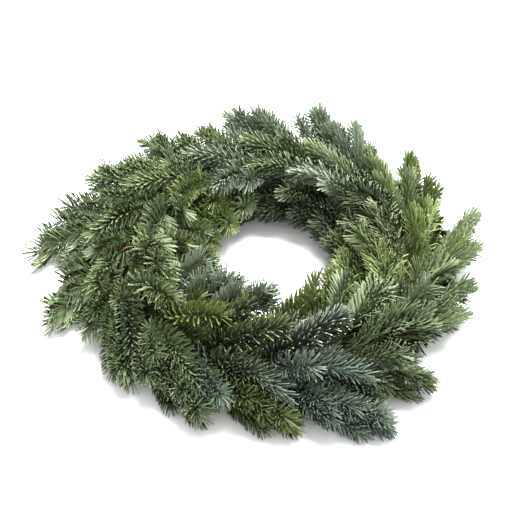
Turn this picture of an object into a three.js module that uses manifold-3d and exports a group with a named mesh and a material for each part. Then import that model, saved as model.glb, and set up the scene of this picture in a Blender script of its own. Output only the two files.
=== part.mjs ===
// Fresh evergreen wreath, about half a metre across, lying flat with its face up.
//
// A wire wreath ring lies on the surface. Fourteen clamps along its hoop each hold one bunch of
// four cut fir sprays, and every spray is laid the same way round, so that the tips of one bunch
// cover the stems of the next. Each spray is one grown piece: a woody stem, side twigs that fan
// out over the round of the wreath, and flat needles on all sides of every twig.
//
// Millimetres, +Z up. The wreath is laid out round its ring's centre and then moved so that the
// middle of its footprint is at the origin, with the underside of the hoop at Z = 0.

import * as THREE from 'three';
import { ConvexGeometry } from 'three/addons/geometries/ConvexGeometry.js';
import { mergeVertices } from 'three/addons/utils/BufferGeometryUtils.js';
import Module from 'manifold-3d';

const wasm = await Module();
wasm.setup();

// ---------------------------------------------------------------- driving dimensions

const RING_RADIUS = 150;            // centre line of the hoop
const HOOP_WIRE = 4.2;              // wire across its flats
const HOOP_SIDES = 6;
const BUNCH_COUNT = 14;
const FIRST_BUNCH_ANGLE = 5;        // degrees round the ring, counter-clockwise from +X
const HOOP_SEGMENTS_PER_BUNCH = 2;

const STEM_RADIUS = 2.3;            // cut end of a spray
const STEM_SPACING = 5.2;           // between the stems side by side in a clamp
const BUTT_LENGTH = 12;             // stem left behind the clamp's middle
const CLAMP_EXIT = 8;               // straight stem in front of the clamp's middle

const CLAMP_STRIP = 1.4;            // thickness of the bent strip
const CLAMP_WIDTH = 5;              // along the ring
const CLAMP_GAP = 0.45;             // between the stems and the clamp round them
const CLAMP_SINK = 1.2;             // how far the strip is welded into the hoop
const CLAMP_BEVEL = 1.6;

const FOLIAGE_CORE_HEIGHT = 38;     // centre of the round section of the foliage
const SPRAY_RISE_START = 0.42;      // where along a spray its bend sits
const SPRAY_TURN = 0.55;            // how far it first follows the ring, 1 being all the way
const SPRAY_ARCH = [12, 48, 50, 24];     // how high the bend stands over the line, lane by lane
const SPRAY_STEPS = 4;
const SPRAY_SIDES = 4;
const SPRAY_CORE_RADIUS = 3.8;      // the slim core of close needle bases round the spray's line
const CORE_FROM = 0.3;              // where the core starts to swell from the bare stem
const CORE_FULL = 0.5;
const TIP_RADIUS = 1.2;

const TWIG_STARTS = [0.34, 0.54];        // where side twigs leave the spray
const TWIG_ANGLE = 42;                   // degrees from the spray's own line
const TWIG_TURN_STEPS = [0, 12, -12, 24, -20];
const TWIG_LENGTH = 0.43;                // of the spray's length, less towards its tip
const TWIG_RUN_ON = 0.3;                 // share of the spray ahead whose direction it takes
const TWIG_BASE_RADIUS = 1.8;
const TWIG_SIDES = 3;
const TWIG_CLEARANCE = 1.2;
const TWIG_SHORTEST = 16;

const NEEDLE_LENGTH = 23;
const NEEDLE_SHORTEST = 13;
const NEEDLE_WIDTH = 2.4;
const NEEDLE_THICKNESS = 1.3;
const NEEDLE_WIDEST = 0.6;          // share of its length where a needle is widest
const NEEDLE_ANGLE = 52;            // degrees from the twig
const NEEDLE_GOLDEN_TURN = 137.5;   // degrees from one needle to the next round the twig
const NEEDLE_TURN_STEPS = [0, 22, -22, 44, -44, 70, -70];
const NEEDLE_CLEARANCE = 0.35;
const STEM_NEEDLES = 9;
const TWIG_NEEDLES = 3;
const STEM_NEEDLES_FROM = 0.27;     // bare stem before this, as a share of the spray
const TWIG_NEEDLES_FROM = 0.2;

const FLOOR_GAP = 0.8;              // foliage stays this far above the surface
const HOLE_HALF = 49;               // half of the square that stays open in the middle
const FACE_TOLERANCE = 0.01;        // flat faces are joined again within this
const SEED = 2024;

// ---------------------------------------------------------------- tones of the foliage

const TONES = {
  glaucous: 0x8fa79a,
  sage: 0x74876f,
  green: 0x55703c,
  lime: 0x8a9a4a,
  deep: 0x35482c,
  olive: 0x66703a,
};
const WIRE_COLOR = 0x3d4a3a;

// Where each spray ends: degrees round the ring, distance from its centre, height, and tone.
const tip = (angle, radius, height, tone) => ({ angle, radius, height, tone });

// The four sprays of a bunch side by side, from the hole outwards, each with its tips in the
// order of the bunches.
const SPRAY_TIPS = {
  inner: [
    tip(66, 84, 30, 'deep'), tip(92, 88, 30, 'deep'), tip(118, 86, 32, 'deep'),
    tip(142, 76, 36, 'deep'), tip(164, 66, 42, 'sage'), tip(191, 66, 44, 'sage'),
    tip(216, 70, 52, 'sage'), tip(244, 75, 58, 'glaucous'), tip(271, 84, 58, 'glaucous'),
    tip(298, 92, 54, 'sage'), tip(323, 94, 48, 'sage'), tip(350, 86, 44, 'sage'),
    tip(15, 80, 38, 'green'), tip(40, 82, 32, 'green'),
  ],
  'crown-inner': [
    tip(44, 124, 58, 'green'), tip(74, 126, 60, 'green'), tip(97, 128, 64, 'glaucous'),
    tip(121, 114, 58, 'glaucous'), tip(147, 122, 60, 'sage'), tip(173, 112, 56, 'glaucous'),
    tip(200, 112, 56, 'green'), tip(224, 132, 62, 'lime'), tip(250, 126, 64, 'lime'),
    tip(276, 134, 66, 'lime'), tip(301, 138, 64, 'deep'), tip(326, 138, 66, 'sage'),
    tip(352, 116, 60, 'lime'), tip(20, 120, 60, 'green'),
  ],
  'crown-outer': [
    tip(45, 188, 50, 'green'), tip(73, 178, 58, 'glaucous'), tip(97, 190, 54, 'sage'),
    tip(120, 182, 56, 'glaucous'), tip(146, 190, 50, 'green'), tip(171, 194, 44, 'sage'),
    tip(197, 190, 40, 'green'), tip(226, 194, 36, 'green'), tip(250, 196, 34, 'green'),
    tip(275, 198, 36, 'deep'), tip(299, 202, 40, 'sage'), tip(324, 198, 44, 'glaucous'),
    tip(350, 192, 50, 'sage'), tip(18, 194, 50, 'olive'),
  ],
  outer: [
    tip(43, 226, 46, 'green'), tip(76, 246, 54, 'glaucous'), tip(101, 244, 54, 'olive'),
    tip(128, 238, 50, 'sage'), tip(148, 240, 44, 'sage'), tip(175, 258, 22, 'green'),
    tip(200, 236, 16, 'green'), tip(228, 206, 14, 'sage'), tip(252, 214, 14, 'glaucous'),
    tip(276, 216, 15, 'sage'), tip(298, 244, 14, 'glaucous'), tip(314, 222, 16, 'sage'),
    tip(349, 214, 28, 'sage'), tip(17, 242, 30, 'green'),
  ],
};

// ---------------------------------------------------------------- sizes worked out from these

const CLAMP_FLOOR = HOOP_WIRE + CLAMP_STRIP - CLAMP_SINK;
const STEM_HEIGHT = CLAMP_FLOOR + CLAMP_GAP + STEM_RADIUS;
const LANES = Object.keys(SPRAY_TIPS);
const CLAMP_ROOM_WIDTH = (LANES.length - 1) * STEM_SPACING + 2 * (STEM_RADIUS + CLAMP_GAP);
const CLAMP_ROOM_HEIGHT = 2 * (STEM_RADIUS + CLAMP_GAP);
const BUNCH_STEP = 360 / BUNCH_COUNT;

const UP = new THREE.Vector3(0, 0, 1);
const WIRE_LINES = [];              // centre lines of the hoop and clamps, for keeping clear

// ---------------------------------------------------------------- helpers

/** A seeded random number source, giving 0 to 1. */
function seededRandom(seed) {
  let state = seed >>> 0;
  return () => {
    state = (state + 0x6d2b79f5) >>> 0;
    let mixed = Math.imul(state ^ (state >>> 15), 1 | state);
    mixed = (mixed + Math.imul(mixed ^ (mixed >>> 7), 61 | mixed)) ^ mixed;
    return ((mixed ^ (mixed >>> 14)) >>> 0) / 4294967296;
  };
}

const radians = THREE.MathUtils.degToRad;

/** The point at an angle round the ring, a distance from its centre and a height. */
function ringPoint(angle, radius, height) {
  const turn = radians(angle);
  return new THREE.Vector3(radius * Math.cos(turn), radius * Math.sin(turn), height);
}

/** The direction that runs counter-clockwise round the ring at an angle. */
function ringDirection(angle) {
  const turn = radians(angle);
  return new THREE.Vector3(-Math.sin(turn), Math.cos(turn), 0);
}

/** The way out of the foliage's round section at a point, square to the ring. */
function foliageNormal(point) {
  const core = new THREE.Vector3(point.x, point.y, 0).setLength(RING_RADIUS);
  core.z = FOLIAGE_CORE_HEIGHT;
  return point.clone().sub(core).normalize();
}

/** A closed three.js geometry as a solid for joining. */
function toSolid(geometry) {
  const bare = geometry.index ? geometry.toNonIndexed() : geometry.clone();
  bare.deleteAttribute('normal');
  bare.deleteAttribute('uv');
  const merged = mergeVertices(bare, 1e-4);
  return new wasm.Manifold(new wasm.Mesh({
    numProp: 3,
    vertProperties: new Float32Array(merged.attributes.position.array),
    triVerts: new Uint32Array(merged.index.array),
  }));
}

/** A joined solid as a geometry again, without loose scraps and needlessly split faces. */
function toGeometry(solid) {
  const bodies = solid.decompose();
  const whole = bodies.reduce((best, body) => (body.volume() > best.volume() ? body : best));
  const mesh = whole.simplify(FACE_TOLERANCE).getMesh();
  const geometry = new THREE.BufferGeometry();
  geometry.setAttribute('position', new THREE.BufferAttribute(new Float32Array(mesh.vertProperties), 3));
  geometry.setIndex(new THREE.BufferAttribute(new Uint32Array(mesh.triVerts), 1));
  return geometry;
}

/** Closest places of two straight pieces a-b and c-d: their distance and shares along each. */
function closestPlaces(a, b, c, d) {
  const first = b.clone().sub(a);
  const second = d.clone().sub(c);
  const apart = a.clone().sub(c);
  const firstSquare = first.lengthSq();
  const secondSquare = second.lengthSq();
  const across = first.dot(second);
  const firstApart = first.dot(apart);
  const secondApart = second.dot(apart);
  const spread = firstSquare * secondSquare - across * across;
  let s = spread > 1e-9 ? (across * secondApart - firstApart * secondSquare) / spread : 0;
  s = THREE.MathUtils.clamp(s, 0, 1);
  const t = THREE.MathUtils.clamp((across * s + secondApart) / secondSquare, 0, 1);
  s = THREE.MathUtils.clamp((across * t - firstApart) / firstSquare, 0, 1);
  const distance = a.clone().addScaledVector(first, s).distanceTo(c.clone().addScaledVector(second, t));
  return { distance, s, t };
}

/** Whether two tapering rods, each { from, to, fromRadius, toRadius }, keep a gap between them. */
function rodsClear(one, other, gap) {
  const reach = one.fromRadius + other.fromRadius + gap;
  const length = one.length + other.length;
  if (one.middle.distanceTo(other.middle) > length / 2 + reach) return true;
  const radiusAt = (rod, share) => rod.fromRadius + (rod.toRadius - rod.fromRadius) * share;
  const near = closestPlaces(one.from, one.to, other.from, other.to);
  return near.distance > radiusAt(one, near.s) + radiusAt(other, near.t) + gap;
}

/** A straight tapering rod, with the values that the clearance test needs. */
function rod(from, to, fromRadius, toRadius) {
  return {
    from,
    to,
    fromRadius,
    toRadius,
    length: from.distanceTo(to),
    middle: from.clone().lerp(to, 0.5),
  };
}

// ---------------------------------------------------------------- twigs

/** A woody line through some points, with a slim core of needle bases, thinning to its tip. */
class Twig {
  constructor(points, rootRadius, coreRadius, sides) {
    this.points = points;
    this.rootRadius = rootRadius;
    this.coreRadius = coreRadius;
    this.sides = sides;
    this.marks = [0];
    for (let i = 1; i < points.length; i += 1) {
      this.marks.push(this.marks[i - 1] + points[i].distanceTo(points[i - 1]));
    }
    this.length = this.marks[this.marks.length - 1];
    this.rods = points.slice(1).map((point, i) => rod(
      points[i], point, this.radiusAt(this.marks[i] / this.length),
      this.radiusAt(this.marks[i + 1] / this.length),
    ));
  }

  radiusAt(share) {
    const swell = THREE.MathUtils.smoothstep(share, CORE_FROM, CORE_FULL);
    const body = THREE.MathUtils.lerp(this.rootRadius, this.coreRadius, swell);
    return THREE.MathUtils.lerp(body, TIP_RADIUS, THREE.MathUtils.smoothstep(share, CORE_FULL, 1));
  }

  /** The point and direction at a share of the twig's length. */
  at(share) {
    const mark = share * this.length;
    let i = 1;
    while (i < this.points.length - 1 && this.marks[i] < mark) i += 1;
    const along = (mark - this.marks[i - 1]) / (this.marks[i] - this.marks[i - 1]);
    const point = this.points[i - 1].clone().lerp(this.points[i], along);
    const direction = this.points[i].clone().sub(this.points[i - 1]).normalize();
    return { point, direction, radius: this.radiusAt(share) };
  }

  /** The direction through point number i, halfway between its two neighbours' lines. */
  directionAt(i) {
    const before = this.points[Math.max(i - 1, 0)];
    const after = this.points[Math.min(i + 1, this.points.length - 1)];
    return after.clone().sub(before).normalize();
  }

  /** A tapering cylinder bent along the points, with one row of vertices at each. */
  solid() {
    const rows = this.points.length - 1;
    const geometry = new THREE.CylinderGeometry(1, 1, 1, this.sides, rows);
    const position = geometry.attributes.position;
    const place = new THREE.Vector3();
    for (let v = 0; v < position.count; v += 1) {
      place.fromBufferAttribute(position, v);
      const i = Math.round((place.y + 0.5) * rows);
      const direction = this.directionAt(i);
      const side = UP.clone().cross(direction).normalize();
      const over = direction.clone().cross(side);
      const radius = this.radiusAt(this.marks[i] / this.length);
      const bent = this.points[i].clone()
        .addScaledVector(side, place.z * radius)
        .addScaledVector(over, place.x * radius);
      position.setXYZ(v, bent.x, bent.y, bent.z);
    }
    return toSolid(geometry);
  }
}

/** The spray's own line: straight through the clamp, then bending up and out to its tip. */
function sprayTwig(bunch, lane, end) {
  const angle = FIRST_BUNCH_ANGLE + bunch * BUNCH_STEP;
  const offset = (lane - (LANES.length - 1) / 2) * STEM_SPACING;
  const along = ringDirection(angle);
  const middle = ringPoint(angle, RING_RADIUS + offset, STEM_HEIGHT);
  const butt = middle.clone().addScaledVector(along, -BUTT_LENGTH);
  const exit = middle.clone().addScaledVector(along, CLAMP_EXIT);
  const target = ringPoint(end.angle, end.radius, end.height);
  const chord = target.clone().sub(exit);
  const heading = along.clone().multiplyScalar(SPRAY_TURN)
    .addScaledVector(chord.clone().normalize(), 1 - SPRAY_TURN)
    .normalize();
  const bend = exit.clone().addScaledVector(heading, chord.length() * SPRAY_RISE_START);
  bend.z += SPRAY_ARCH[lane];
  const curve = new THREE.QuadraticBezierCurve3(exit, bend, target);
  return new Twig([butt, ...curve.getPoints(SPRAY_STEPS)], STEM_RADIUS, SPRAY_CORE_RADIUS, SPRAY_SIDES);
}

/** A straight side twig that leaves the spray to one side and runs on with its later course. */
function sideTwig(stem, share, side, turn, random) {
  const root = stem.at(share);
  const onward = stem.at(Math.min(share + TWIG_RUN_ON, 1)).direction;
  const normal = foliageNormal(root.point);
  const sideways = normal.clone().cross(root.direction).normalize().multiplyScalar(side);
  const angle = radians(TWIG_ANGLE + turn);
  const length = stem.length * TWIG_LENGTH * (1.15 - share) * (0.85 + 0.3 * random());
  const heading = onward.clone().multiplyScalar(Math.cos(angle))
    .addScaledVector(sideways, Math.sin(angle))
    .normalize();
  const end = root.point.clone().addScaledVector(heading, length);
  return new Twig([root.point, end], TWIG_BASE_RADIUS, TWIG_BASE_RADIUS, TWIG_SIDES);
}

// ---------------------------------------------------------------- needles

/** One flat needle as a solid: a sunk root, a keel below and two edges that meet at the point. */
function needleSolid(needle) {
  const along = needle.to.clone().sub(needle.from).normalize();
  const flat = needle.direction.clone().cross(along).normalize();
  const face = flat.clone().cross(along);
  const widest = needle.from.clone().lerp(needle.to, NEEDLE_WIDEST)
    .addScaledVector(face, NEEDLE_THICKNESS);
  return toSolid(new ConvexGeometry([
    needle.from,
    needle.to,
    widest.clone().addScaledVector(flat, -NEEDLE_WIDTH / 2),
    widest.clone().addScaledVector(flat, NEEDLE_WIDTH / 2),
  ]));
}

/** A needle as a rod, at a share along a twig and a turn round it. */
function needleAt(twig, share, turn, length, lean) {
  const root = twig.at(share);
  const normal = foliageNormal(root.point);
  const side = root.direction.clone().cross(normal).normalize();
  const over = side.clone().cross(root.direction);
  const out = side.multiplyScalar(Math.cos(radians(turn)))
    .addScaledVector(over, Math.sin(radians(turn)));
  const heading = root.direction.clone().multiplyScalar(Math.cos(radians(lean)))
    .addScaledVector(out, Math.sin(radians(lean)));
  const from = root.point.clone();
  const to = from.clone().addScaledVector(heading, length);
  const needle = rod(from, to, NEEDLE_WIDTH / 2, NEEDLE_WIDTH / 2);
  needle.direction = root.direction;
  return needle;
}

/** Whether a needle stays above the surface and out of the hole. */
function withinWreath(point) {
  const inHole = Math.abs(point.x) < HOLE_HALF && Math.abs(point.y) < HOLE_HALF;
  return point.z > FLOOR_GAP + NEEDLE_THICKNESS / 2 && !inHole;
}

/** Needles along a twig, each turned, shortened or left out to stay clear of other sprays. */
function growNeedles(twig, count, first, others, random) {
  const needles = [];
  let turn = 360 * random();
  for (let i = 0; i < count; i += 1) {
    turn += NEEDLE_GOLDEN_TURN;
    const share = THREE.MathUtils.lerp(first, 0.97, i / (count - 1));
    const atTip = THREE.MathUtils.smoothstep(share, 0.6, 1);
    const lean = NEEDLE_ANGLE * (1 - 0.55 * atTip);
    const full = NEEDLE_LENGTH * (0.88 + 0.24 * random()) * (1 - 0.25 * atTip);
    const needle = clearNeedle(twig, share, turn, full, lean, others);
    if (needle) needles.push(needle);
  }
  return needles;
}

/** The first of several turns and lengths that keeps a needle clear, or nothing. */
function clearNeedle(twig, share, turn, full, lean, others) {
  for (const length of [full, NEEDLE_SHORTEST]) {
    for (const step of NEEDLE_TURN_STEPS) {
      const needle = needleAt(twig, share, turn + step, length, lean);
      const clear = others.every((other) => rodsClear(needle, other, NEEDLE_CLEARANCE));
      if (clear && withinWreath(needle.to)) return needle;
    }
  }
  return null;
}

// ---------------------------------------------------------------- the wreath ring

/** The hoop's wire, six-sided with one flat underneath. */
function hoopSolid() {
  const profile = [];
  const corner = HOOP_WIRE / 2 / Math.cos(Math.PI / HOOP_SIDES);
  for (let i = 0; i <= HOOP_SIDES; i += 1) {
    const turn = ((i % HOOP_SIDES) * 2 * Math.PI) / HOOP_SIDES;
    profile.push(new THREE.Vector2(
      RING_RADIUS + corner * Math.cos(turn),
      HOOP_WIRE / 2 + corner * Math.sin(turn),
    ));
  }
  const segments = BUNCH_COUNT * HOOP_SEGMENTS_PER_BUNCH;
  const geometry = new THREE.LatheGeometry(profile, segments);
  geometry.rotateX(Math.PI / 2);
  geometry.rotateZ(radians(FIRST_BUNCH_ANGLE + 180 / segments));
  return toSolid(geometry);
}

/** A rectangle with cut corners, centred on the hoop and standing at a height. */
function clampOutline(shape, width, base, height, bevel) {
  const half = width / 2;
  shape.moveTo(-half + bevel, base);
  shape.lineTo(half - bevel, base);
  shape.lineTo(half, base + bevel);
  shape.lineTo(half, base + height - bevel);
  shape.lineTo(half - bevel, base + height);
  shape.lineTo(-half + bevel, base + height);
  shape.lineTo(-half, base + height - bevel);
  shape.lineTo(-half, base + bevel);
  shape.closePath();
  return shape;
}

/** One clamp: a strip closed round a row of stems and welded to the top of the hoop. */
function clampSolid(angle) {
  const outer = clampOutline(
    new THREE.Shape(),
    CLAMP_ROOM_WIDTH + 2 * CLAMP_STRIP,
    CLAMP_FLOOR - CLAMP_STRIP,
    CLAMP_ROOM_HEIGHT + 2 * CLAMP_STRIP,
    CLAMP_BEVEL,
  );
  outer.holes.push(clampOutline(
    new THREE.Path(), CLAMP_ROOM_WIDTH, CLAMP_FLOOR, CLAMP_ROOM_HEIGHT, 0,
  ));
  const geometry = new THREE.ExtrudeGeometry(outer, { depth: CLAMP_WIDTH, bevelEnabled: false });
  geometry.translate(0, 0, -CLAMP_WIDTH / 2);
  const out = ringPoint(angle, 1, 0);
  const back = ringDirection(angle).negate();
  const turned = new THREE.Matrix4().makeBasis(out, UP, back);
  turned.setPosition(ringPoint(angle, RING_RADIUS, 0));
  geometry.applyMatrix4(turned);
  return toSolid(geometry);
}

/** The hoop with all its clamps, welded into one piece. */
function wreathRing() {
  const angles = Array.from({ length: BUNCH_COUNT }, (_, i) => FIRST_BUNCH_ANGLE + i * BUNCH_STEP);
  const clamps = angles.map(clampSolid);
  const segments = BUNCH_COUNT * HOOP_SEGMENTS_PER_BUNCH;
  for (let i = 0; i < segments; i += 1) {
    const from = ringPoint(FIRST_BUNCH_ANGLE + (360 / segments) * i, RING_RADIUS, HOOP_WIRE / 2);
    const to = ringPoint(FIRST_BUNCH_ANGLE + (360 / segments) * (i + 1), RING_RADIUS, HOOP_WIRE / 2);
    WIRE_LINES.push(rod(from, to, HOOP_WIRE * 0.6, HOOP_WIRE * 0.6));
  }
  for (const angle of angles) {
    const half = CLAMP_ROOM_WIDTH / 2 + CLAMP_STRIP;
    for (const height of [CLAMP_FLOOR, CLAMP_FLOOR + CLAMP_ROOM_HEIGHT + CLAMP_STRIP / 2]) {
      const from = ringPoint(angle, RING_RADIUS - half, height);
      const to = ringPoint(angle, RING_RADIUS + half, height);
      WIRE_LINES.push(rod(from, to, CLAMP_WIDTH * 0.7, CLAMP_WIDTH * 0.7));
    }
  }
  const material = new THREE.MeshStandardMaterial({ color: WIRE_COLOR, roughness: 0.5, metalness: 0.6 });
  const ring = new THREE.Mesh(toGeometry(wasm.Manifold.union([hoopSolid(), ...clamps])), material);
  ring.name = 'wreath-ring';
  return ring;
}

// ---------------------------------------------------------------- the sprays

/** Every spray with its stem laid out, before side twigs and needles grow on it. */
function laySprays() {
  return LANES.flatMap((laneName, lane) => SPRAY_TIPS[laneName].map((end, bunch) => {
    const stem = sprayTwig(bunch, lane, end);
    const name = `spray-${String(bunch + 1).padStart(2, '0')}-${laneName}`;
    return { name, tone: end.tone, stem, twigs: [stem], needles: [] };
  }));
}

/** Rods of every spray but one, with the hoop and clamps. */
function rodsOfOthers(sprays, own) {
  const others = sprays.filter((spray) => spray !== own);
  const wood = others.flatMap((spray) => spray.twigs.flatMap((twig) => twig.rods));
  return [...wood, ...others.flatMap((spray) => spray.needles), ...WIRE_LINES];
}

/** Side twigs on alternate sides, each turned until it is clear of every other spray. */
function growTwigs(sprays, random) {
  TWIG_STARTS.forEach((share, row) => {
    sprays.forEach((spray, number) => {
      const side = (row + number) % 2 ? 1 : -1;
      const others = rodsOfOthers(sprays, spray);
      for (const turn of TWIG_TURN_STEPS) {
        const twig = sideTwig(spray.stem, share, side, turn, random);
        const clear = twig.rods.every((one) => others.every(
          (other) => rodsClear(one, other, TWIG_CLEARANCE),
        ));
        const end = twig.points[twig.points.length - 1];
        if (clear && withinWreath(end) && twig.length > TWIG_SHORTEST) {
          spray.twigs.push(twig);
          break;
        }
      }
    });
  });
}

/** One spray as a mesh: its twigs and needles fused into one body. */
function sprayMesh(spray) {
  const solids = [
    ...spray.twigs.map((twig) => twig.solid()),
    ...spray.needles.map(needleSolid),
  ];
  const material = new THREE.MeshStandardMaterial({
    color: TONES[spray.tone], roughness: 0.62, metalness: 0,
  });
  const mesh = new THREE.Mesh(toGeometry(wasm.Manifold.union(solids)), material);
  mesh.name = spray.name;
  return mesh;
}

/** All sprays: stems first, then side twigs, then needles, each kept clear of the rest. */
function buildSprays() {
  const random = seededRandom(SEED);
  const sprays = laySprays();
  growTwigs(sprays, random);
  for (const spray of sprays) {
    const others = rodsOfOthers(sprays, spray);
    spray.twigs.forEach((twig, i) => {
      const count = i ? TWIG_NEEDLES : STEM_NEEDLES;
      const first = i ? TWIG_NEEDLES_FROM : STEM_NEEDLES_FROM;
      spray.needles.push(...growNeedles(twig, count, first, others, random));
    });
  }
  return sprays.map(sprayMesh);
}

// ---------------------------------------------------------------- the wreath

/** The whole wreath, moved so that the middle of its footprint is at the origin. */
function buildWreath() {
  const wreath = new THREE.Group();
  wreath.add(wreathRing());
  wreath.add(...buildSprays());
  const box = new THREE.Box3().setFromObject(wreath, true);
  const middle = box.getCenter(new THREE.Vector3());
  wreath.position.set(-middle.x, -middle.y, -box.min.z);
  return wreath;
}

export default buildWreath();
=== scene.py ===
"""Looks of a fresh evergreen wreath: fir sprays held on a clamp ring, lying in a plain studio.

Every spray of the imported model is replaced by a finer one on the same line: woody twigs with
buds and a cut end, and curved flat needles on all sides. Its clamp ring is replaced by one of
round wire and bent strip. Lengths are in metres.
"""

from __future__ import annotations

import logging
import math
import random
from dataclasses import dataclass, field
from enum import Enum
from typing import Any, Iterator, Sequence

import bmesh
import bpy
from mathutils import Matrix, Vector


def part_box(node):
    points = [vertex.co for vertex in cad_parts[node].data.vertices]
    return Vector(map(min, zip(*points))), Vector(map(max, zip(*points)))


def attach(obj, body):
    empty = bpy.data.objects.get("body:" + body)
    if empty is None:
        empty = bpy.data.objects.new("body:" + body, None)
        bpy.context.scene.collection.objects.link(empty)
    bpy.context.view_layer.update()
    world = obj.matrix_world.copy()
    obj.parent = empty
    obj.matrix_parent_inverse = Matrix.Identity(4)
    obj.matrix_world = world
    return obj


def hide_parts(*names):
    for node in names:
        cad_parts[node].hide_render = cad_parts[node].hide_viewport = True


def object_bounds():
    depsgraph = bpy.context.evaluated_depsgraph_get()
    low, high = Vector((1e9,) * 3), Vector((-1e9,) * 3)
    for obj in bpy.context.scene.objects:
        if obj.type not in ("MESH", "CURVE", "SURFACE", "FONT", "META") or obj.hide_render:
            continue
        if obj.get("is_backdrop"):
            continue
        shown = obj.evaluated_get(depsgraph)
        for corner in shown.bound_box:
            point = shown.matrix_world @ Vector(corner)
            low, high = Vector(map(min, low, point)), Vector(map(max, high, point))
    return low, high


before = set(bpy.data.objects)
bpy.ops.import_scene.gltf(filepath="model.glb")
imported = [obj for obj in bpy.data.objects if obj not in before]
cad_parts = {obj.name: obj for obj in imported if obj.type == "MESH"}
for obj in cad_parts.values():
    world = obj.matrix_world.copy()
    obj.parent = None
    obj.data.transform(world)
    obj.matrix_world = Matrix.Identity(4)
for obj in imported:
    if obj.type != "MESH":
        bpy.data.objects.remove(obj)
CAD_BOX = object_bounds()

LOG = logging.getLogger("wreath")
MM = 0.001
UP = Vector((0.0, 0.0, 1.0))

RING_RADIUS = 150 * MM
BUNCH_COUNT = 14
FIRST_BUNCH_ANGLE = 5.0
BUNCH_STEP = 360.0 / BUNCH_COUNT
STEM_HEIGHT = 7.15 * MM
STEM_SPACING = 5.2 * MM
FOLIAGE_CORE_HEIGHT = 38 * MM
HOLE_RADIUS = 50 * MM
FLOOR_GAP = 0.8 * MM
BOX_MARGIN = 8 * MM
GOLDEN_TURN = 137.5
FIRST_SEED = 9000

# The places of a spray's materials. Its needles have place 0.
BARK_PLACE = 1
CUT_PLACE = 2

# The share of its tone that each finish of the wreath sends back. Strong lights on darker finishes
# keep the floor white and the shadow on it small.
FINISH_STRENGTH = 0.64


# ---------------------------------------------------------------- shader kit


class Reading:
    """A number that varies over a surface, so that sums are written as Python expressions."""

    def __init__(self, sheet: "FinishSheet", socket: bpy.types.NodeSocket) -> None:
        """Wrap the output that carries the number, with the finish that it belongs to."""
        self.sheet = sheet
        self.socket = socket

    def _work(self, operation: str, left: Any, right: Any) -> "Reading":
        """The result of one Math node on two values, each a Reading or a number."""
        node = self.sheet.add("ShaderNodeMath", {"operation": operation}, {0: left, 1: right})
        return Reading(self.sheet, node.outputs[0])

    def __add__(self, other: Any) -> "Reading":
        """Self plus other."""
        return self._work("ADD", self, other)

    def __radd__(self, other: Any) -> "Reading":
        """Other plus self."""
        return self._work("ADD", other, self)

    def __sub__(self, other: Any) -> "Reading":
        """Self minus other."""
        return self._work("SUBTRACT", self, other)

    def __rsub__(self, other: Any) -> "Reading":
        """Other minus self."""
        return self._work("SUBTRACT", other, self)

    def __mul__(self, other: Any) -> "Reading":
        """Self times other."""
        return self._work("MULTIPLY", self, other)

    def __rmul__(self, other: Any) -> "Reading":
        """Other times self."""
        return self._work("MULTIPLY", other, self)

    def smooth(self, low: float, high: float) -> "Reading":
        """Rise softly from 0 to 1.

        Args:
            low: Where the rise starts.
            high: Where it ends.

        Returns:
            The soft step.
        """
        node = self.sheet.add(
            "ShaderNodeMapRange",
            {"interpolation_type": "SMOOTHSTEP"},
            {"Value": self, "From Min": low, "From Max": high},
        )
        return Reading(self.sheet, node.outputs["Result"])


def colour(tone: int, strength: float = FINISH_STRENGTH) -> tuple[float, float, float, float]:
    """Turn a hex tone as seen on a screen into the renderer's linear values.

    Args:
        tone: The tone as 0xRRGGBB.
        strength: The share of it that the finish sends back.

    Returns:
        Red, green, blue and 1 for alpha.
    """
    parts = [((tone >> shift) & 255) / 255 for shift in (16, 8, 0)]
    light = [p / 12.92 if p <= 0.04045 else ((p + 0.055) / 1.055) ** 2.4 for p in parts]
    return (light[0] * strength, light[1] * strength, light[2] * strength, 1.0)


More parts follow.
